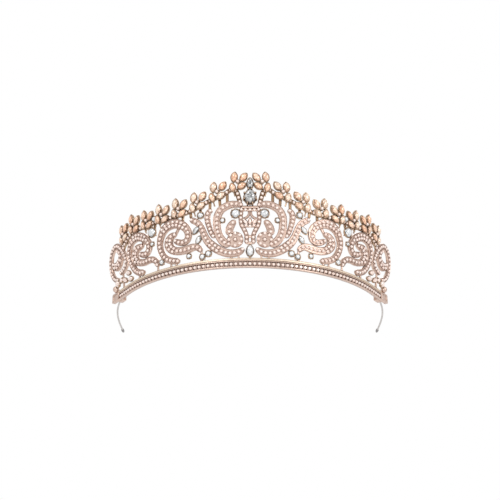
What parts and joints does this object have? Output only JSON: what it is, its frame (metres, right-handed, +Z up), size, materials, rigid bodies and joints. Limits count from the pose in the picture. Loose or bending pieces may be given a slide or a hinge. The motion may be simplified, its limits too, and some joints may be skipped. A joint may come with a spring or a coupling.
{
  "type": "bridal tiara",
  "caption": "Bridal tiara: a curved jewelled band with end comb wires carries an outward-leaning openwork panel of scrolls set with small crystals and a crest of leaf sprigs.",
  "frame": {"origin": "On the surface that the band's lower edge stands on, under the middle of the whole tiara's box.", "axes": "+Z up, the front of the tiara faces -Y, and +X runs from the middle towards the right end as seen from the front."},
  "size_m": [0.1534, 0.1064, 0.0505],
  "materials": {
    "rose_metal": "polished rose-gold plate with darker recesses",
    "gold_metal": "polished pale gold plate",
    "wire_metal": "smooth pale plated wire",
    "sleeve_metal": "smooth grey plate",
    "pink_crystal": "cut and foil-backed, pale pink",
    "amber_crystal": "cut and foil-backed, champagne to amber",
    "clear_crystal": "cut and foil-backed, clear"
  },
  "bodies": {
    "root": {"band_channel": "rose_metal", "band_rail": "gold_metal", "band_crystals": "pink_crystal", "band_dividers": "rose_metal", "end_cap_left": "rose_metal", "end_cap_right": "rose_metal", "wire_socket_left": "rose_metal", "wire_socket_right": "rose_metal", "comb_wire_left": "wire_metal", "comb_wire_right": "wire_metal", "tip_sleeve_left": "sleeve_metal", "tip_sleeve_right": "sleeve_metal", "heart_scroll_left": "rose_metal", "heart_scroll_right": "rose_metal", "heart_crystals_left": "pink_crystal", "heart_crystals_right": "pink_crystal", "horn_left": "rose_metal", "horn_right": "rose_metal", "cradle_scroll_left": "rose_metal", "cradle_scroll_right": "rose_metal", "cradle_crystals_left": "pink_crystal", "cradle_crystals_right": "pink_crystal", "mid_scroll_left": "rose_metal", "mid_scroll_right": "rose_metal", "mid_curl_left": "rose_metal", "mid_curl_right": "rose_metal", "mid_crystals_left": "pink_crystal", "mid_crystals_right": "pink_crystal", "side_scroll_left": "rose_metal", "side_scroll_right": "rose_metal", "side_curl_left": "rose_metal", "side_curl_right": "rose_metal", "side_crystals_left": "pink_crystal", "side_crystals_right": "pink_crystal", "wing_left": "rose_metal", "wing_right": "rose_metal", "wing_crystals_left": "pink_crystal", "wing_crystals_right": "pink_crystal", "leaf_rail_left": "gold_metal", "leaf_rail_right": "gold_metal", "leaf_cups_left": "gold_metal", "leaf_cups_right": "gold_metal", "leaf_crystals_left": "amber_crystal", "leaf_crystals_right": "amber_crystal", "accent_cups_left": "gold_metal", "accent_cups_right": "gold_metal", "accent_crystals_left": "clear_crystal", "accent_crystals_right": "clear_crystal", "wing_knob_left": "rose_metal", "wing_knob_right": "rose_metal", "centre_column": "rose_metal", "column_crystals": "pink_crystal", "centre_cup": "gold_metal", "centre_prongs": "gold_metal", "centre_crystal": "clear_crystal", "top_cup": "gold_metal", "top_crystal": "clear_crystal", "drop_cup": "gold_metal", "drop_crystal": "clear_crystal"}
  },
  "joints": []
}
